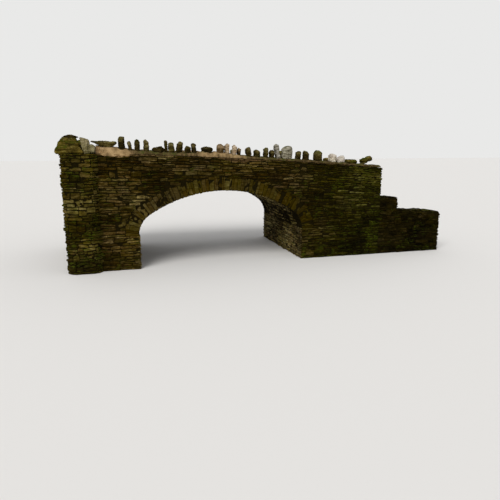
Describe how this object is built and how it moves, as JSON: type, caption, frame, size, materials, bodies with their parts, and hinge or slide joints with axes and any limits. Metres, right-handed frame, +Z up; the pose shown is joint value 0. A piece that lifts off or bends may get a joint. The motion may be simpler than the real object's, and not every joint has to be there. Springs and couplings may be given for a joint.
{
  "type": "stone arch bridge",
  "caption": "Small rubble stone bridge with one flattened arch, solid parapets, upright coping stones set in mortar and a capped end pier.",
  "frame": {"origin": "middle of the overall box in plan, at the foot of the walls", "axes": "+X along the bridge towards the low wing walls, -Y is the downstream face, +Z up"},
  "size_m": [12.09, 4.44, 3.8071],
  "materials": {
    "rubble_stone": "rough",
    "ring_stone": "rough",
    "mossy_stone": "rough",
    "lichen_stone": "rough",
    "bed_mortar": "rough",
    "road_gravel": "rough"
  },
  "bodies": {
    "root": {"left_abutment": "rubble_stone", "right_abutment": "rubble_stone", "arch_barrel": "rubble_stone", "arch_ring_downstream": "ring_stone", "arch_ring_upstream": "ring_stone", "spandrel_downstream_left": "rubble_stone", "spandrel_downstream_right": "rubble_stone", "spandrel_upstream_left": "rubble_stone", "spandrel_upstream_right": "rubble_stone", "parapet_downstream": "rubble_stone", "parapet_upstream": "rubble_stone", "road_fill": "rubble_stone", "road_surface": "road_gravel", "end_pier_downstream": "mossy_stone", "end_pier_upstream": "mossy_stone", "wing_wall_downstream": "rubble_stone", "wing_wall_upstream": "rubble_stone", "cap_boulder": "mossy_stone", "cap_top_stone": "rubble_stone", "pier_light_stones": "lichen_stone", "cap_boulder_upstream": "mossy_stone", "coping_bed_downstream": "bed_mortar", "coping_bed_upstream": "bed_mortar", "coping_slab": "rubble_stone", "coping_uprights_left": "rubble_stone", "coping_stones_middle": "rubble_stone", "coping_oval_stone": "rubble_stone", "coping_light_stones": "lichen_stone", "coping_uprights_right": "rubble_stone", "coping_block": "rubble_stone", "coping_flat_stones": "lichen_stone", "coping_mossy_stone": "mossy_stone", "coping_slanted_stone": "mossy_stone", "upstream_uprights_left": "rubble_stone", "upstream_uprights_right": "rubble_stone", "upstream_flat_stones": "mossy_stone"}
  },
  "joints": []
}
